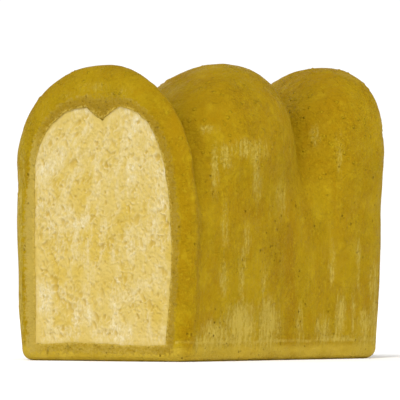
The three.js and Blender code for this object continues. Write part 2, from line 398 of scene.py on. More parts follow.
def build_crust():
    ring = outline()
    n = len(ring)
    rows, flat = [], []
    for y in stations():
        s = slant_at(y)
        o = np.array([0.0, min(y, REAR_CORE), CORE])
        to = np.stack([ring[:, 0], (0 if y == 0 else y - o[1]) - s * ring[:, 0], ring[:, 1] - CORE], -1)
        rows.append(surface_points(np.broadcast_to(o, to.shape), to))
    for k in np.linspace(1, 0.72, 13)[1:]:
        o = np.array([0.0, REAR_CORE, CORE])
        to = np.stack([ring[:, 0] * k, np.full(n, LENGTH - REAR_CORE), (ring[:, 1] - CORE) * k], -1)
        rows.append(surface_points(np.broadcast_to(o, to.shape), to))
    rows = np.array(rows)
    heel = grid_of(rows[-1])
    o = np.array([0.0, REAR_CORE, CORE])
    inner = surface_points(np.broadcast_to(o, heel.shape), heel - o)
    inner[0], inner[-1], inner[:, 0], inner[:, -1] = heel[0], heel[-1], heel[:, 0], heel[:, -1]

    rim = crumb_outline()
    cut = rows[0][:, [0, 2]]
    # the crust's own cut edge, from the crumb out to the rounding
    face_rows, steps = [], [0.0, 0.1, 0.22, 0.36, 0.52, 0.68, 0.84]
    for t in steps:
        xz = rim + (cut - rim) * t
        face_rows.append(np.stack([xz[:, 0], np.zeros(n), xz[:, 1]], -1))
    mid = np.array([CRUMB_MID, CORE])
    out = rim - mid
    out = out / np.linalg.norm(out, axis=1, keepdims=True)
    lip = rim + out * 0.15
    lip_rows = [np.stack([lip[:, 0], np.full(n, 7.0), lip[:, 1]], -1), np.stack([lip[:, 0], np.full(n, 1.2), lip[:, 1]], -1)]
    n_lip, n_face = len(lip_rows), len(face_rows)
    allrows = np.concatenate([np.array(lip_rows), np.array(face_rows), rows])
    P = np.concatenate([allrows.reshape(-1, 3), inner[1:-1, 1:-1].reshape(-1, 3)])
    N = slopes(P)
    nl = (n_lip + n_face) * n
    N[:nl] = (0, -1, 0)

    # creases, for their relief and for the painted shade in them: signed distance from where two humps are equally
    # near, plus towards the heel
    upper = step(84, 112, P[:, 2])
    crease, crease_shade, valley_shade = np.zeros(len(P)), np.zeros(len(P)), np.zeros(len(P))
    for i, (bottom_shade, low, strip_shade) in enumerate(CREASE_SHADES):
        s = between(i, P)
        crease = np.maximum(crease, np.exp(-(s / 2.0) ** 2) * upper)
        away = 2.4 * (1 - step(100, 120, P[:, 2]))
        crease_shade = np.maximum(crease_shade, bottom_shade * np.exp(-((s - away) / 2.0) ** 2) * step(low, low + 18, P[:, 2]))
        # the painted shade strip narrows over the dome, and drifts towards the heel as it fades down the wall
        t = s * (1 + 0.9 * step(128, 152, P[:, 2])) - 4.5 * (1 - step(88, 114, P[:, 2]))
        t = step(-4.0, 1.0, t) * (1 - step(VALLEY[0], VALLEY[1], t)) * step(66, 104, P[:, 2])
        valley_shade = np.maximum(valley_shade, strip_shade * t)
        valley_shade = np.maximum(valley_shade, strip_shade * 0.4 * np.exp(-(s / 6.0) ** 2) * step(96, 118, P[:, 2]))
    on_face = np.zeros(len(P))
    on_face[: nl] = 1.0
    # fade from the crumb's edge outward: 1 at the crumb, 0 at the start of the rounding
    edge = np.zeros(len(P))
    edge[: n_lip * n] = 1.0
    for k, t in enumerate(steps):
        edge[(n_lip + k) * n: (n_lip + k + 1) * n] = 1 - t
    side = step(0.05, 0.45, N[:, 0]) * (1 - on_face)
    pale, deep = marks(P, side, PALE_MARKS), marks(P, side, DEEP_MARKS)
    pale = np.maximum(pale, marks(P, step(0.10, 0.45, -N[:, 1]) * (1 - on_face), FRONT_MARKS, 0.0))
    # the walls that aren't towards the viewer of the picture get marks of the same kind, scattered
    other = (1 - step(-0.2, 0.35, N[:, 0])) * (1 - step(0.45, 0.8, np.abs(N[:, 2]))) * (1 - on_face) * (1 - step(0.2, 0.6, -N[:, 1]))
    strokes = layers(P, (6.0, 6.0, 20.0), 2, 181)
    low = np.exp(-((P[:, 2] - 21.0) / 11.0) ** 2) * step(-0.05, 0.35, layers(P, (18, 18, 24), 2, 191))
    mid = np.exp(-((P[:, 2] - 107.0) / 14.0) ** 2) * step(-0.05, 0.35, layers(P, (16, 16, 24), 2, 193))
    pale = np.maximum(pale, other * np.maximum(0.80 * step(-0.05, 0.30, strokes) * np.maximum(low, mid), 0.35 * step(0.30, 0.5, strokes)))
    deep = np.maximum(deep, other * 0.45 * step(0.12, 0.45, layers(P, (12.0, 12.0, 44.0), 2, 197)))
    relief = crust_relief(P, N, crease, np.clip(1.3 * pale - 0.25, 0, 1) * step(14, 22, P[:, 2]))
    relief = relief * (1 - on_face)
    foot = step(0.4, 7.0, P[:, 2])
    under = np.clip(-N[:, 2], 0, 1)
    relief = np.where(under > 0.6, np.minimum(relief, 0) * 0.25, relief * foot)
    first = np.arange(len(P))
    k = (first - nl) // n
    fade = np.where((first >= nl) & (k < 6), np.clip(k, 0, 6) / 6.0, 1.0)
    relief = relief * fade
    P = P + N * relief[:, None]
    # the cut edge itself: slight drag marks of the knife, and a fold at the top
    m = np.arange(nl)
    fp = P[:nl].copy()
    drag = 0.24 * layers(np.stack([fp[:, 0], fp[:, 1], fp[:, 2]], -1), (3.2, 3, 1.6), 3, 111) + 0.30 * layers(fp, 6.0, 2, 113)
    inner_edge = (edge[:nl] > 0) & (m >= n_lip * n)
    ends = np.where(edge[:nl] < 0.9, 1.0, 0.35)
    P[:nl, 1] += np.where(inner_edge, drag * ends * step(0.0, 0.3, 1 - edge[:nl] + 0.1) + 0.12, 0)
    fold = np.exp(-((fp[:, 0] - NOTCH_X) / 2.2) ** 2) * step(118, 132, fp[:, 2]) * (1 - step(146, 152, fp[:, 2]))
    P[:nl, 1] += np.where(inner_edge, 1.1 * fold * edge[:nl], 0)
    ys = P[:, 1]
    P[:, 1] = np.maximum(ys, 0.0 - 0.25)
    P[:, 2] = np.maximum(P[:, 2], 0.0)

    quads = []
    R = n_lip + n_face + len(rows)
    i = np.arange(n)
    j = (i + 1) % n
    for r in range(R - 1):
        a, b, c, d = r * n + i, r * n + j, (r + 1) * n + j, (r + 1) * n + i
        quads.append(np.stack([a, d, c, b], -1))
    gid = np.zeros((UP + 1, ACROSS + 1), np.int64)
    last = (R - 1) * n
    for q, (rj, ci) in enumerate(rim_index()):
        gid[rj, ci] = last + q
    gid[1:-1, 1:-1] = R * n + np.arange((UP - 1) * (ACROSS - 1)).reshape(UP - 1, ACROSS - 1)
    a, b, c, d = gid[:-1, :-1], gid[:-1, 1:], gid[1:, 1:], gid[1:, :-1]
    quads.append(np.stack([a, d, c, b], -1).reshape(-1, 4))
    quads = np.concatenate(quads)

    # map: right wall and dome in one strip, left wall and base in another, the heel apart
    mean = allrows
    along = np.concatenate([[0], np.cumsum(np.linalg.norm(np.diff(mean, axis=0), axis=2).mean(1))])
    gap = np.linalg.norm(np.diff(np.concatenate([rows[60], rows[60][:1]]), axis=0), axis=1)
    around = np.concatenate([[0], np.cumsum(gap)])
    b0, b1 = around[ACROSS], around[2 * ACROSS + UP]
    total = around[-1]
    tall = (total - b1) + b0
    heel_tall = 92.0
    height = max(b1 - b0, tall + heel_tall + 6) + 8
    su, sv = 0.485 / along[-1], 0.98 / height
    uv = np.zeros((len(quads) * 4, 2))
    nq = (R - 1) * n
    ri = np.repeat(np.arange(R - 1), n)
    ii = np.tile(i, R - 1)
    strip_a = (ii >= ACROSS) & (ii < 2 * ACROSS + UP)
    for corner, (dr, di) in enumerate(((0, 0), (1, 0), (1, 1), (0, 1))):
        u = along[ri + dr] * su
        pos = around[ii + di]
        va = (pos - b0) * sv
        vb = np.where(ii < ACROSS, total - b1 + pos, pos - b1) * sv
        uv[corner: nq * 4: 4, 0] = np.where(strip_a, 0.005 + u, 0.51 + u)
        uv[corner: nq * 4: 4, 1] = 0.01 + np.where(strip_a, va, vb)
    g = inner
    gx, gz = g[..., 0], g[..., 2]
    hu = 0.515 + (gx - gx.min()) / (gx.max() - gx.min()) * 0.47
    hv = 0.01 + (tall + 8 + (gz - gz.min()) / (gz.max() - gz.min()) * heel_tall) * sv
    guv = np.stack([hu, hv], -1)
    cor = np.stack([guv[:-1, :-1], guv[1:, :-1], guv[1:, 1:], guv[:-1, 1:]], 2)
    uv[nq * 4:] = cor.reshape(-1, 2)
    attrs = dict(crease=crease_shade, valley_shade=valley_shade, cutedge=on_face, fromcrumb=edge, pale=pale, deep=deep,
                 front_shade=step(0.15, 0.8, -N[:, 1]) * (1 - on_face), upward=step(0.05, 0.95, N[:, 2]) * (1 - on_face))
    return close_ring(P, quads, uv, attrs, np.arange(n), (0.03, 0.981))


# ---------------------------------------------------------------- crumb mesh
def crumb_map(rng, x0, x1, z0, z1, cell=0.2):
    """Depth of the open crumb below the cut, in mm, on a fine raster."""
    w, h = int((x1 - x0) / cell) + 2, int((z1 - z0) / cell) + 2
    depth = np.zeros((h, w))
    gz, gx = np.mgrid[0:h, 0:w]
    gx, gz = x0 + gx * cell, z0 + gz * cell
    # cells aren't round: bend the plane they are drawn on
    q = np.stack([gx, 0 * gx, gz], -1)
    wx = gx + 0.75 * layers(q, 3.4, 2, 201) + 0.30 * layers(q, 1.3, 1, 203)
    wz = gz + 0.75 * layers(q, 3.4, 2, 207) + 0.30 * layers(q, 1.3, 1, 209)

    def stamp(cx, cz, a, b, turn, deep, power):
        r = max(a, b) + 1.1
        i0, i1 = max(0, int((cx - r - x0) / cell)), min(w, int((cx + r - x0) / cell) + 2)
        j0, j1 = max(0, int((cz - r - z0) / cell)), min(h, int((cz + r - z0) / cell) + 2)
        if i0 >= i1 or j0 >= j1:
            return
        dx, dz = wx[j0:j1, i0:i1] - cx, wz[j0:j1, i0:i1] - cz
        c, s = math.cos(turn), math.sin(turn)
        rho = ((dx * c + dz * s) / a) ** 2 + ((-dx * s + dz * c) / b) ** 2
        cup = deep * np.clip(1 - rho, 0, 1) ** power
        depth[j0:j1, i0:i1] = np.maximum(depth[j0:j1, i0:i1], cup)

    area = (x1 - x0) * (z1 - z0)
    # how open the crumb is, patch by patch
    for count, lo, hi, deep, loose in ((0.46, 0.40, 0.70, 0.80, 0.2), (0.21, 0.60, 1.10, 0.80, 0.5),
                                       (0.040, 1.00, 1.65, 0.70, 0.9), (0.0040, 1.5, 2.3, 0.60, 1.0)):
        n = int(area * count)
        at = np.stack([rng.uniform(x0, x1, n), np.zeros(n), rng.uniform(z0, z1, n)], -1)
        keep = rng.uniform(0, 1, n) < 1 - loose * (0.5 - 0.9 * layers(at, (13, 13, 17), 2, 211))
        for cx, _, cz in at[keep]:
            a = lo + (hi - lo) * rng.uniform() ** 1.6
            b = a * rng.uniform(1.0, 1.9)
            turn = -grain_lean(cx, cz) + rng.normal(0, 0.30)
            stamp(cx, cz, a, b, turn, a * deep * rng.uniform(0.75, 1.2), rng.uniform(0.45, 0.8))
    return depth


# deeper patches of the crumb: across, up, half width, half height, strength
CRUMB_TONES = [(3.0, 41.0, 12.0, 8.0, .75), (33.0, 92.0, 8.0, 16.0, .65)]


def grain_lean(x, z):
    """How far the crumb's grain leans to the right of upright, in radians."""
    up = np.clip((z - 55.0) / 75.0, 0, 1)
    return 0.36 * up * np.clip(0.75 - (x - CRUMB_MID) / 70.0, 0, 1.2)


def build_crumb():
    rng = np.random.default_rng(1449)
    rim2 = crumb_outline()
    mid = np.array([CRUMB_MID, CORE])
    out = rim2 - mid
    out /= np.linalg.norm(out, axis=1, keepdims=True)
    rim2 = rim2 + out * 0.35
    rim = np.stack([rim2[:, 0], np.zeros(len(rim2)), rim2[:, 1]], -1)
    g = grid_of(rim)
    # finer grid by interpolation of the corner-to-corner one
    m, k = 320, 240
    v = np.linspace(0, UP, m + 1)
    u = np.linspace(0, ACROSS, k + 1)
    v0, u0 = np.minimum(v.astype(int), UP - 1), np.minimum(u.astype(int), ACROSS - 1)
    fv, fu = (v - v0)[:, None, None], (u - u0)[None, :, None]
    a, b = g[v0][:, u0], g[v0][:, u0 + 1]
    c, d = g[v0 + 1][:, u0], g[v0 + 1][:, u0 + 1]
    G = (1 - fv) * ((1 - fu) * a + fu * b) + fv * ((1 - fu) * c + fu * d)
    x, z = G[..., 0], G[..., 2]
    x0, x1, z0, z1, cell = x.min() - 2, x.max() + 2, z.min() - 2, z.max() + 2, 0.2
    depth = crumb_map(rng, x0, x1, z0, z1, cell)
    fi, fj = (x - x0) / cell, (z - z0) / cell
    i0, j0 = fi.astype(int), fj.astype(int)
    fi, fj = fi - i0, fj - j0
    D = ((1 - fi) * (1 - fj) * depth[j0, i0] + fi * (1 - fj) * depth[j0, i0 + 1]
         + (1 - fi) * fj * depth[j0 + 1, i0] + fi * fj * depth[j0 + 1, i0 + 1])
    p3 = np.stack([x, np.zeros_like(x), z], -1)
    rows, cols = np.arange(m + 1)[:, None], np.arange(k + 1)[None, :]
    edge = np.minimum(np.minimum(cols, k - cols), np.minimum(rows, m - rows)).astype(float)
    close = step(0, 16, edge)                      # tighter crumb close to the crust
    D = D * (0.30 + 0.70 * close)
    swell = 0.40 * layers(p3, 22, 3, 131) + 0.26 * layers(p3, (4, 4, 8), 2, 137)
    lean = grain_lean(x, z)
    along = np.stack([x - np.tan(lean) * (z - 55.0), 0 * x, z], -1)
    swell = swell + 0.22 * layers(along, (1.7, 5, 4.4), 2, 141)      # feathery strands that follow the grain
    # a shallow furrow runs on down from the notch
    furrow = 0.7 * np.exp(-((x - NOTCH_X - 0.8 * np.sin(z / 7.0)) / 1.6) ** 2) * step(108, 131, z)
    y = 0.50 + swell * 0.8 * close + D + furrow
    y = np.maximum(y, 0.02)
    # grain: soft upright strokes of paler and deeper crumb, leaning with the grain
    bend = along + 2.4 * layers(p3, (12, 5, 12), 2, 231)[..., None]
    pale = 0.5 * step(-0.12, 0.38, layers(bend, (4.4, 5, 12), 3, 221)) + 0.5 * step(-0.10, 0.35, layers(p3, (13, 5, 13), 3, 223))
    deep = step(-0.05, 0.45, layers(along + 40.0, (11, 5, 17), 3, 227))
    for mx, mz, hw, hh, share in CRUMB_TONES:
        spot = share * np.exp(-((x - mx) / hw) ** 2 - ((z - mz) / hh) ** 2)
        deep, pale = np.maximum(deep, spot), pale * (1 - spot)
    P = np.stack([x, y, z], -1).reshape(-1, 3)
    gid = np.arange((m + 1) * (k + 1)).reshape(m + 1, k + 1)
    a, b, c, d = gid[:-1, :-1], gid[:-1, 1:], gid[1:, 1:], gid[1:, :-1]
    quads = [np.stack([a, b, c, d], -1).reshape(-1, 4)]
    loop = np.concatenate([gid[0, :-1], gid[:-1, -1], gid[-1, :0:-1], gid[:0:-1, 0]])
    back = P[loop].copy()
    back[:, 1] = 6.0
    base = len(P)
    nb = len(loop)
    i = np.arange(nb)
    j = (i + 1) % nb
    quads.append(np.stack([loop[i], base + i, base + j, loop[j]], -1))
    P = np.concatenate([P, back])
    quads = np.concatenate(quads)
    flat = P[:, [0, 2]].copy()
    o = flat[base:] - mid
    flat[base:] += o / np.linalg.norm(o, axis=1, keepdims=True) * 2.0
    lo, hi = flat.min(0), flat.max(0)
    uvv = 0.01 + 0.98 * (flat - lo) / (hi - lo)
    uv = uvv[quads].reshape(-1, 2)

    def spread(v, last):
        return np.concatenate([v.reshape(-1), np.full(nb, last)])
    # painted highlight: thin walls between cells, a little above their surroundings, are coloured lighter as if they
    # catch the light
    ridge_highlight = step(0.10, 0.45, local_mean(D, 3) - D)
    attrs = dict(pore_shade=spread(D, 0.0), rimness=spread(1 - step(0, 11, edge), 1.0),
                 pale=spread(pale, 0.0), deep=spread(deep, 0.0), ridge_highlight=spread(ridge_highlight, 0.0))
    return close_ring(P, quads, uv, attrs, base + np.arange(nb)[::-1], (0.02, 0.98))


def local_mean(v, r):
    """Mean over a square of side 2 r + 1."""
    for axis in (0, 1):
        pad = [(0, 0), (0, 0)]
        pad[axis] = (r + 1, r)
        c = np.cumsum(np.pad(v, pad, mode="edge"), axis=axis)
        n = 2 * r + 1
        v = (np.take(c, range(n, c.shape[axis]), axis) - np.take(c, range(0, c.shape[axis] - n), axis)) / n
    return v


def close_ring(P, quads, uv, attrs, ring, spot):
    """Closes a mesh behind the cut face: fills the ring with a fan, mapped onto a small spot of its own."""
    mid = P[ring].mean(0)
    middle = np.full(len(ring) // 2, len(P))
    fan = np.stack([middle, ring[0::2], ring[1::2], np.roll(ring, -2)[0::2]], -1)
    P = np.concatenate([P, mid[None]])
    off = (P[fan] - mid)[..., [0, 2]]
    uv = np.concatenate([uv, (np.array(spot) + 0.006 * off / np.abs(off).max()).reshape(-1, 2)])
    attrs = {k: np.append(v, v[ring[0]]) for k, v in attrs.items()}
    return P, np.concatenate([quads, fan]), uv, attrs


# ---------------------------------------------------------------- into Blender
def make_object(name, P, quads, uv, attrs):
    pts = (P + SHIFT) / 1000.0
    me = bpy.data.meshes.new(name)
    me.vertices.add(len(pts))
    me.vertices.foreach_set("co", pts.astype(np.float32).ravel())
    me.loops.add(len(quads) * 4)
    me.loops.foreach_set("vertex_index", quads.astype(np.int32).ravel())
    me.polygons.add(len(quads))
    me.polygons.foreach_set("loop_start", np.arange(0, len(quads) * 4, 4, dtype=np.int32))
    me.polygons.foreach_set("use_smooth", np.ones(len(quads), bool))
    me.update(calc_edges=True)
    layer = me.uv_layers.new(name="OFBake")
    layer.data.foreach_set("uv", uv.astype(np.float32).ravel())
    for k, v in attrs.items():
        at = me.attributes.new(k, "FLOAT", "POINT")
        at.data.foreach_set("value", v.astype(np.float32))
    me.validate()
    ob = bpy.data.objects.new(name, me)
    bpy.context.scene.collection.objects.link(ob)
    return ob


def lin(r, g, b):
    def f(c):
        c = c / 255.0
        return c / 12.92 if c <= 0.04045 else ((c + 0.055) / 1.055) ** 2.4
    return (f(r), f(g), f(b), 1.0)


class Graph:
    """Small helper for node materials."""

    def __init__(self, name):
        self.mat = bpy.data.materials.new(name)
        self.mat.use_nodes = True
        self.t = self.mat.node_tree
        self.t.nodes.clear()
        self.out = self.t.nodes.new("ShaderNodeOutputMaterial")
        self.bsdf = self.t.nodes.new("ShaderNodeBsdfPrincipled")
        self.t.links.new(self.bsdf.outputs[0], self.out.inputs[0])
        self.geo = self.t.nodes.new("ShaderNodeTexCoord").outputs["Object"]

    def put(self, socket, value):
        if isinstance(value, bpy.types.NodeSocket):
            self.t.links.new(value, socket)
        else:
            socket.default_value = value

    def attr(self, name):
        n = self.t.nodes.new("ShaderNodeAttribute")
        n.attribute_name = name
        return n.outputs["Fac"]

    def scaled(self, sx, sy, sz, offset=0.0):
        n = self.t.nodes.new("ShaderNodeMapping")
        self.put(n.inputs["Vector"], self.geo)
        n.inputs["Scale"].default_value = (1000.0 / sx, 1000.0 / sy, 1000.0 / sz)
        n.inputs["Location"].default_value = (offset, offset * 0.7, offset * 1.3)
        return n.outputs[0]

    def noise(self, vec, detail=4.0, rough=0.55, distortion=0.0):
        n = self.t.nodes.new("ShaderNodeTexNoise")
        self.put(n.inputs["Vector"], vec)
        n.inputs["Scale"].default_value = 1.0
        n.inputs["Detail"].default_value = detail
        n.inputs["Roughness"].default_value = rough
        n.inputs["Distortion"].default_value = distortion
        return n.outputs[0]

    def cells(self, vec, feature="F1", smooth=0.0):
        n = self.t.nodes.new("ShaderNodeTexVoronoi")
        n.feature = feature
        self.put(n.inputs["Vector"], vec)
        n.inputs["Scale"].default_value = 1.0
        if feature == "F1":
            self.lot = n.outputs["Color"]           # a random colour for each cell
        return n.outputs["Distance"]

    def spots(self, vec, size, share):
        """Round spots, 1 in the middle, in the given share of a scatter's cells."""
        d = self.cells(vec)
        n = self.t.nodes.new("ShaderNodeSeparateColor")
        self.put(n.inputs[0], self.lot)
        chosen = self.ramp(n.outputs[0], share, share - 0.04)
        r = self.ramp(n.outputs[1], 0.0, 1.0, 0.55, 1.0)
        return self.math("MULTIPLY", self.ramp(self.math("DIVIDE", d, r), size, size * 0.45), chosen)

    def ramp(self, value, a, b, lo=0.0, hi=1.0):
        n = self.t.nodes.new("ShaderNodeMapRange")
        n.interpolation_type = "SMOOTHSTEP"
        self.put(n.inputs["Value"], value)
        n.inputs["From Min"].default_value, n.inputs["From Max"].default_value = a, b
        n.inputs["To Min"].default_value, n.inputs["To Max"].default_value = lo, hi
        return n.outputs["Result"]

    def math(self, op, a, b=0.0, clamp=False):
        n = self.t.nodes.new("ShaderNodeMath")
        n.operation = op
        n.use_clamp = clamp
        self.put(n.inputs[0], a)
        self.put(n.inputs[1], b)
        return n.outputs[0]

    def mix(self, fac, a, b, kind="MIX"):
        n = self.t.nodes.new("ShaderNodeMix")
        n.data_type = "RGBA"
        n.blend_type = kind
        self.put(n.inputs["Factor"], fac)
        self.put(n.inputs[6], a)
        self.put(n.inputs[7], b)
        return n.outputs[2]

    def axis(self, which):
        n = self.t.nodes.new("ShaderNodeSeparateXYZ")
        self.put(n.inputs[0], self.geo)
        return n.outputs[which]

    def bump(self, height, strength, distance, under=None):
        n = self.t.nodes.new("ShaderNodeBump")
        n.inputs["Strength"].default_value = strength
        n.inputs["Distance"].default_value = distance
        self.put(n.inputs["Height"], height)
        if under is not None:
            self.put(n.inputs["Normal"], under)
        return n.outputs[0]


def seen(r, g, b, light):
    """The albedo that looks like this sRGB colour under that much light."""
    c = lin(r, g, b)
    return (c[0] / light, c[1] / light, c[2] / light, 1.0)


SIDE_LIGHT, FACE_LIGHT = 1.165, 1.34
GOLD = seen(174, 142, 12, SIDE_LIGHT)
GOLD_DEEP = seen(166, 131, 8, SIDE_LIGHT)
GOLD_WARM = seen(165, 125, 2, SIDE_LIGHT)
GOLD_OLIVE = seen(171, 141, 10, SIDE_LIGHT)
GOLD_LIGHT = seen(190, 160, 22, SIDE_LIGHT)
PALE = seen(208, 181, 78, SIDE_LIGHT)
PALE_WASH = seen(194, 164, 46, SIDE_LIGHT)
# dark brown: real deep browning, and painted shade in the creases, holes and wrinkles
SHADE_AND_DEEP_BROWN = seen(138, 107, 2, SIDE_LIGHT)
FRONT_SHADE = seen(130, 112, 10, SIDE_LIGHT)
FOOT_TONE = seen(204, 174, 58, SIDE_LIGHT)
TOP_TONE = seen(140, 104, 4, SIDE_LIGHT)
RIND = seen(184, 153, 42, FACE_LIGHT)
RIND_DEEP = seen(160, 124, 8, FACE_LIGHT)
RIND_PALE = seen(202, 174, 78, FACE_LIGHT)
CRUMB = seen(225, 198, 112, FACE_LIGHT)
CRUMB_LIGHT = seen(240, 225, 178, FACE_LIGHT)
CRUMB_DEEP = seen(219, 188, 84, FACE_LIGHT)
CRUMB_SHADE = seen(204, 170, 66, FACE_LIGHT)


def crust_material():
    g = Graph("bread_crust")
    z = g.axis("Z")
    broad = g.noise(g.scaled(40, 40, 48, 3.1), 3, 0.5)
    col = g.mix(g.ramp(broad, 0.38, 0.62), GOLD_DEEP, GOLD)
    col = g.mix(g.ramp(g.noise(g.scaled(26, 26, 30, 8.2), 3, 0.55), 0.50, 0.68, 0, 0.6), col, GOLD_OLIVE)
    # the skin is smooth in some places and rough in others
    rough = g.ramp(g.noise(g.scaled(19, 19, 19, 90.3), 3, 0.55), 0.36, 0.62, 0.40, 1.0)
    # upright streaks left by the tin's wall, none on the domes
    streak = g.noise(g.scaled(4.8, 4.8, 40, 1.7), 4, 0.66)
    low = g.ramp(z, 0.138, 0.090, 0.0, 1.0)
    col = g.mix(g.math("MULTIPLY", g.ramp(streak, 0.50, 0.72), g.math("MULTIPLY", low, 0.50)), col, GOLD_LIGHT)
    col = g.mix(g.math("MULTIPLY", g.ramp(streak, 0.48, 0.28), g.math("MULTIPLY", low, 0.50)), col, GOLD_WARM)
    col = g.mix(g.math("MULTIPLY", g.attr("deep"), 0.88), col, GOLD_WARM)
    # mottled browning
    blot = g.noise(g.scaled(7.5, 7.5, 7.5, 24.4), 4, 0.65)
    col = g.mix(g.ramp(blot, 0.52, 0.68, 0, 0.50), col, GOLD_LIGHT)
    col = g.mix(g.ramp(blot, 0.48, 0.32, 0, 0.50), col, GOLD_WARM)
    # fine browning that follows the grain of the skin
    fine = g.noise(g.scaled(1.7, 1.7, 1.7, 4.4), 5, 0.72)
    col = g.mix(g.math("MULTIPLY", g.ramp(fine, 0.52, 0.68, 0, 0.75), rough), col, GOLD_LIGHT)
    col = g.mix(g.math("MULTIPLY", g.ramp(fine, 0.48, 0.30, 0, 0.62), rough), col, SHADE_AND_DEEP_BROWN)
    # paler strokes where the skin tore as it rose, broken up finely
    grit = g.noise(g.scaled(1.5, 1.5, 2.6, 14.4), 4, 0.72)
    hair = g.noise(g.scaled(2.4, 2.4, 15, 31.7), 3, 0.62)
    torn = g.math("ADD", g.attr("pale"), g.math("ADD", g.ramp(grit, 0.34, 0.66, -0.36, 0.36), g.ramp(hair, 0.34, 0.66, -0.32, 0.32)))
    torn = g.math("MULTIPLY", g.ramp(torn, -0.02, 1.05), g.ramp(g.attr("pale"), 0.0, 0.30))
    col = g.mix(g.ramp(g.attr("pale"), 0.04, 0.60, 0, 0.46), col, PALE_WASH)
    col = g.mix(g.math("MULTIPLY", torn, 0.92), col, PALE)
    # paler foot, where the crust sat on the tin's floor
    foot = g.math("MULTIPLY", g.ramp(z, 0.0105, 0.0060), g.ramp(g.noise(g.scaled(12, 12, 5, 71.0), 3, 0.6), 0.30, 0.60, 0.58, 1.0))
    less = g.ramp(g.attr("deep"), 0.1, 0.9, 1.0, 0.33)
    col = g.mix(g.math("MULTIPLY", g.math("MULTIPLY", foot, less), 0.85), col, FOOT_TONE)
    # and the broken line that the tin's seam left above it
    seam = g.math("SUBTRACT", z, g.ramp(g.noise(g.scaled(16, 16, 60, 81.0), 3, 0.6), 0.3, 0.7, 0.0100, 0.0114))
    seam = g.ramp(g.math("ABSOLUTE", seam), 0.0013, 0.0002)
    seam = g.math("MULTIPLY", seam, g.ramp(g.noise(g.scaled(5.5, 5.5, 30, 83.0), 4, 0.65), 0.36, 0.60, 0.10, 1.0))
    seam = g.math("MULTIPLY", seam, g.math("MULTIPLY", less, g.ramp(g.attr("cutedge"), 0.5, 0.0)))
    col = g.mix(g.math("MULTIPLY", seam, 0.66), col, PALE)
    # blisters: pale round tops, and freckles baked darker
    blister = g.math("MULTIPLY", g.spots(g.scaled(4.3, 4.3, 4.3, 37.0), 0.34, 0.42), g.ramp(z, 0.080, 0.125, 0.35, 1.0))
    col = g.mix(g.math("MULTIPLY", blister, 0.48), col, GOLD_LIGHT)
    freckle = g.spots(g.scaled(2.9, 2.9, 2.9, 49.0), 0.30, 0.30)
    col = g.mix(g.math("MULTIPLY", freckle, g.math("MULTIPLY", rough, 0.50)), col, SHADE_AND_DEEP_BROWN)
    # bubbles that burst against the tin left little holes, coloured darker as painted shade
    hole = g.math("MULTIPLY", g.spots(g.scaled(3.4, 3.4, 3.8, 58.0), 0.25, 0.46), g.ramp(z, 0.128, 0.100))
    hole = g.math("MULTIPLY", hole, g.ramp(g.noise(g.scaled(14, 14, 16, 51.0), 3, 0.6), 0.41, 0.56))
    col = g.mix(g.math("MULTIPLY", hole, 0.85), col, SHADE_AND_DEEP_BROWN)
    # a net of hairline wrinkles in the baked skin of the domes, coloured darker as painted shade in them
    bent = g.noise(g.scaled(3.0, 3.0, 3.0, 66.0), 2, 0.5)
    net = g.cells(g.scaled(6.5, 6.5, 4.6, 61.0), "DISTANCE_TO_EDGE")
    net = g.ramp(g.math("ADD", net, g.ramp(bent, 0.3, 0.7, -0.02, 0.06)), 0.055, 0.0)
    net = g.math("MULTIPLY", net, g.ramp(z, 0.096, 0.128))
    net = g.math("MULTIPLY", net, g.ramp(g.noise(g.scaled(22, 22, 22, 33.3), 2, 0.5), 0.42, 0.60))
    col = g.mix(g.math("MULTIPLY", net, 0.34), col, SHADE_AND_DEEP_BROWN)
    # the domes stood above the tin and took more heat
    col = g.mix(g.math("MULTIPLY", g.attr("upward"), 0.22), col, TOP_TONE)
    # painted shade: the front hump's crust, which turns to face the light, is darkened a little
    col = g.mix(g.math("MULTIPLY", g.attr("front_shade"), 0.06), col, FRONT_SHADE)
    # painted shade in the creases and in the strip behind each
    col = g.mix(g.math("MULTIPLY", g.attr("valley_shade"), 0.30), col, SHADE_AND_DEEP_BROWN)
    col = g.mix(g.math("MULTIPLY", g.attr("crease"), 0.38), col, SHADE_AND_DEEP_BROWN)
    # the crust's own cut edge
    near = g.attr("fromcrumb")
    ragged = g.math("ADD", near, g.ramp(g.noise(g.scaled(2.4, 2.4, 2.4, 21.0), 3, 0.6), 0.3, 0.7, -0.22, 0.22))
    face = g.math("MULTIPLY", g.attr("cutedge"), g.ramp(ragged, 0.04, 0.42))
    grain = g.noise(g.scaled(1.4, 1.4, 1.2, 9.1), 4, 0.70)
    rind = g.mix(g.ramp(grain, 0.38, 0.64, 0, 0.72), RIND, RIND_PALE)
    rind = g.mix(g.ramp(g.noise(g.scaled(4.2, 4.2, 3.4, 12.9), 3, 0.6), 0.48, 0.30, 0, 0.55), rind, RIND_DEEP)
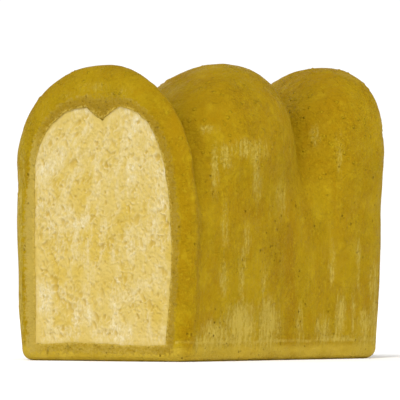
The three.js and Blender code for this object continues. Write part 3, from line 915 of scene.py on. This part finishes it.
    # little pits in the cut crust, coloured darker as painted shade
    cell = g.math("MULTIPLY", g.spots(g.scaled(2.1, 2.1, 2.0, 27.0), 0.36, 0.42), face)
    rind = g.mix(g.math("MULTIPLY", cell, 0.60), rind, RIND_DEEP)
    high = g.ramp(z, 0.100, 0.138)
    rind = g.mix(g.math("MULTIPLY", g.ramp(near, 0.0, 0.55), g.math("MULTIPLY", high, 0.62)), rind, RIND_DEEP)
    rind = g.mix(g.ramp(g.axis("X"), 0.030, 0.052, 0, 0.45), rind, RIND_DEEP)
    rind = g.mix(g.ramp(g.axis("X"), -0.040, -0.050, 0, 0.95), rind, RIND_PALE)
    bleed = g.math("ADD", near, g.ramp(g.noise(g.scaled(1.5, 1.5, 1.5, 41.0), 3, 0.7), 0.32, 0.68, -0.13, 0.13))
    rind = g.mix(g.ramp(bleed, 0.80, 1.02, 0, 0.75), rind, CRUMB_DEEP)
    col = g.mix(face, col, rind)
    g.put(g.bsdf.inputs["Base Color"], col)
    g.put(g.bsdf.inputs["Roughness"], g.ramp(g.noise(g.scaled(9, 9, 9, 2.2), 4, 0.6), 0.3, 0.7, 0.50, 0.78))
    g.bsdf.inputs["Specular IOR Level"].default_value = 0.045
    g.bsdf.inputs["Metallic"].default_value = 0.0
    b0 = g.bump(g.noise(g.scaled(4.6, 4.6, 4.0, 17.7), 4, 0.6, 0.4), 0.9, 0.0014)
    height = g.math("MULTIPLY", g.noise(g.scaled(1.6, 1.6, 1.6, 7.7), 4, 0.66), rough)
    b1 = g.bump(height, 1.0, 0.00110, b0)
    b2 = g.bump(g.math("SUBTRACT", g.math("SUBTRACT", blister, g.math("MULTIPLY", hole, 1.3)), cell), 0.9, 0.00075, b1)
    b3 = g.bump(g.math("MULTIPLY", net, -1.0), 0.7, 0.00028, b2)
    shred = g.math("MULTIPLY", torn, g.math("SUBTRACT", g.noise(g.scaled(1.3, 1.3, 3.6, 77.7), 3, 0.7), 0.9))
    g.put(g.bsdf.inputs["Normal"], g.bump(shred, 0.9, 0.00090, b3))
    return g.mat


def crumb_material():
    g = Graph("bread_crumb")
    fleck = g.noise(g.scaled(0.9, 0.9, 1.9, 6.6), 4, 0.72)
    strand = g.noise(g.scaled(1.8, 1.8, 5.5, 16.6), 3, 0.6)
    col = g.mix(g.math("MULTIPLY", g.attr("deep"), 0.85), CRUMB, CRUMB_DEEP)
    pale = g.math("MULTIPLY", g.attr("pale"), g.ramp(fleck, 0.36, 0.60, 0.30, 1.15), True)
    pale = g.math("MULTIPLY", pale, g.ramp(strand, 0.36, 0.60, 0.55, 1.1), True)
    col = g.mix(pale, col, CRUMB_LIGHT)
    col = g.mix(g.ramp(fleck, 0.60, 0.78, 0, 0.5), col, CRUMB_LIGHT)
    col = g.mix(g.ramp(fleck, 0.40, 0.22, 0, 0.5), col, CRUMB_DEEP)
    # painted highlight on the thin walls between cells
    col = g.mix(g.math("MULTIPLY", g.attr("ridge_highlight"), 0.40), col, CRUMB_LIGHT)
    # painted shade in the pores, darker the deeper they are
    col = g.mix(g.ramp(g.attr("pore_shade"), 0.30, 1.2, 0, 0.62), col, CRUMB_SHADE)
    col = g.mix(g.math("MULTIPLY", g.attr("rimness"), 0.35), col, CRUMB_DEEP)
    g.put(g.bsdf.inputs["Base Color"], col)
    g.put(g.bsdf.inputs["Roughness"], g.ramp(fleck, 0.3, 0.7, 0.86, 0.97))
    g.bsdf.inputs["Specular IOR Level"].default_value = 0.06
    fine = g.noise(g.scaled(0.8, 0.8, 1.2, 2.9), 3, 0.65)
    g.put(g.bsdf.inputs["Normal"], g.bump(fine, 0.5, 0.0004))
    return g.mat


crust = make_object("loaf_crust", *build_crust())
crust.data.materials.append(crust_material())
crumb = make_object("loaf_crumb", *build_crumb())
crumb.data.materials.append(crumb_material())
for piece in (crust, crumb):
    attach(piece, "root")
    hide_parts("loaf")

# ---------------------------------------------------------------- floor, light and camera
AZIMUTH, ELEVATION, DISTANCE = VIEW, math.radians(0.3), 9.0
PX_PER_MM, AIM_U, AIM_V = 1.79, 55.8, 89.3


def plain(name, colour, rough=0.9):
    m = bpy.data.materials.new(name)
    m.use_nodes = True
    b = m.node_tree.nodes["Principled BSDF"]
    b.inputs["Base Color"].default_value = colour
    b.inputs["Roughness"].default_value = rough
    b.inputs["Specular IOR Level"].default_value = 0.1
    return m


def studio():
    sc = bpy.context.scene
    a = AZIMUTH
    right, ahead = np.array([math.cos(a), math.sin(a), 0]), np.array([-math.sin(a), math.cos(a), 0])
    # a wide round floor under a white sky, so it looks the same from every side
    rings, spokes = [0.0, 0.6, 1.5, 4.0, 12.0, 40.0], 48
    verts = [(0, 0, 0)]
    for r in rings[1:]:
        verts += [(r * math.cos(2 * math.pi * k / spokes), r * math.sin(2 * math.pi * k / spokes), 0) for k in range(spokes)]
    faces = [(0, 1 + k, 1 + (k + 1) % spokes) for k in range(spokes)]
    for q in range(len(rings) - 2):
        for k in range(spokes):
            m, nx = 1 + q * spokes, (k + 1) % spokes
            faces.append((m + k, m + spokes + k, m + spokes + nx, m + nx))
    me = bpy.data.meshes.new("floor")
    me.from_pydata(verts, [], faces)
    me.materials.append(plain("pale_floor", (0.97, 0.97, 0.965, 1)))
    fl = bpy.data.objects.new("floor", me)
    sc.collection.objects.link(fl)

    w = bpy.data.worlds.new("studio")
    sc.world = w
    w.use_nodes = True
    bg = w.node_tree.nodes["Background"]
    bg.inputs["Color"].default_value = (1, 1, 1, 1)
    # a white horizon all round, dimmer overhead so that the lamps model the form
    wt = w.node_tree
    where = wt.nodes.new("ShaderNodeTexCoord")
    split = wt.nodes.new("ShaderNodeSeparateXYZ")
    fall = wt.nodes.new("ShaderNodeMapRange")
    fall.interpolation_type = "SMOOTHSTEP"
    wt.links.new(where.outputs["Generated"], split.inputs[0])
    wt.links.new(split.outputs["Z"], fall.inputs["Value"])
    for k, v in (("From Min", 0.20), ("From Max", 0.62), ("To Min", 1.06), ("To Max", 0.42)):
        fall.inputs[k].default_value = v
    wt.links.new(fall.outputs["Result"], bg.inputs["Strength"])

    def area(name, where, at, size, power):
        li = bpy.data.lights.new(name, "AREA")
        li.shape, li.size, li.energy = "DISK", size, power
        ob = bpy.data.objects.new(name, li)
        sc.collection.objects.link(ob)
        from mathutils import Vector
        ob.location = where
        ob.rotation_mode = "QUATERNION"
        ob.rotation_quaternion = (Vector(at) - Vector(where)).to_track_quat("-Z", "Y")
        return ob
    toward = -ahead
    sun = bpy.data.lights.new("key", "SUN")
    sun.energy, sun.angle = 2.3, math.radians(26)
    ob = bpy.data.objects.new("key", sun)
    sc.collection.objects.link(ob)
    from mathutils import Vector
    az, el = math.radians(22), math.radians(52)
    ob.rotation_mode = "QUATERNION"
    ob.rotation_quaternion = Vector((math.sin(az) * math.cos(el), -math.cos(az) * math.cos(el), math.sin(el))).to_track_quat("Z", "Y")
    fill = toward * 1.2 + right * 1.8 + np.array([0, 0, 0.8])
    area("fill", tuple(fill), (0, 0, 0.07), 1.6, 8)
    back = -toward * 2.0 - right * 1.2 + np.array([0, 0, 1.1])
    area("back", tuple(back), (0, 0, 0.07), 1.8, 16).visible_glossy = False

    cam = bpy.data.objects.new("camera", bpy.data.cameras.new("camera"))
    sc.collection.objects.link(cam)
    sc.camera = cam
    e = ELEVATION
    fwd = np.array([-math.sin(a) * math.cos(e), math.cos(a) * math.cos(e), -math.sin(e)])
    up = np.array([-math.sin(a) * math.sin(e), math.cos(a) * math.sin(e), math.cos(e)])
    depth = 77.0
    target = (right * AIM_U + up * AIM_V + fwd * depth + SHIFT) / 1000.0
    from mathutils import Vector
    cam.location = tuple(target - fwd * DISTANCE)
    cam.rotation_mode = "QUATERNION"
    cam.rotation_quaternion = Vector(tuple(-fwd)).to_track_quat("Z", "Y")
    cam.data.sensor_fit = "HORIZONTAL"
    cam.data.sensor_width = 36.0
    cam.data.lens = 36.0 * DISTANCE * 1000.0 * PX_PER_MM / 400.0
    cam.data.clip_start, cam.data.clip_end = 0.1, 60.0
    sc.view_settings.view_transform = "Standard"
    sc.view_settings.look = "None"


studio()
